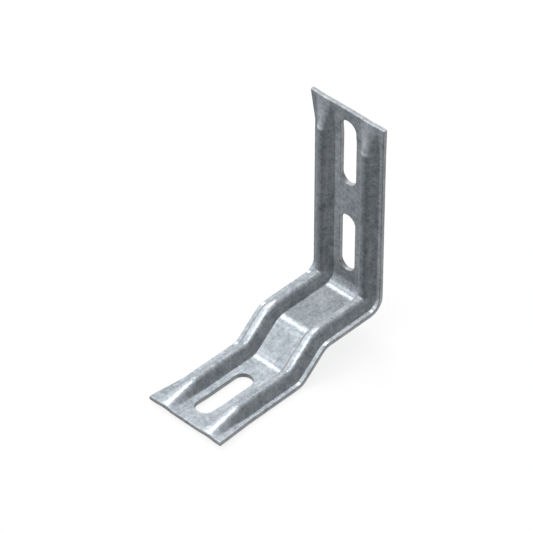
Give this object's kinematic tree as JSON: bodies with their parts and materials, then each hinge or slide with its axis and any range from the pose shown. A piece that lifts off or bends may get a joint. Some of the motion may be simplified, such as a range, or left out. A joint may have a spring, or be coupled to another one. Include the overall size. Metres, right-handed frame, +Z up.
{
  "type": "window frame fixing bracket",
  "caption": "Pressed strip-steel angle bracket with a stepped foot, stiffening ribs run through every bend and slotted holes in both legs, for fixing a window frame to masonry.",
  "frame": {"origin": "middle of the slot in the lower run of the foot, in the plane of that run's underside", "axes": "+Z up along the upright, +X across the strip, +Y from the free end of the foot towards the upright; the upright's outer face looks along +Y"},
  "size_m": [0.0404, 0.097, 0.1085],
  "materials": {
    "galvanised_sheet": "galvanised, dull with fine spangle"
  },
  "bodies": {
    "root": {"bracket": "galvanised_sheet"}
  },
  "joints": []
}
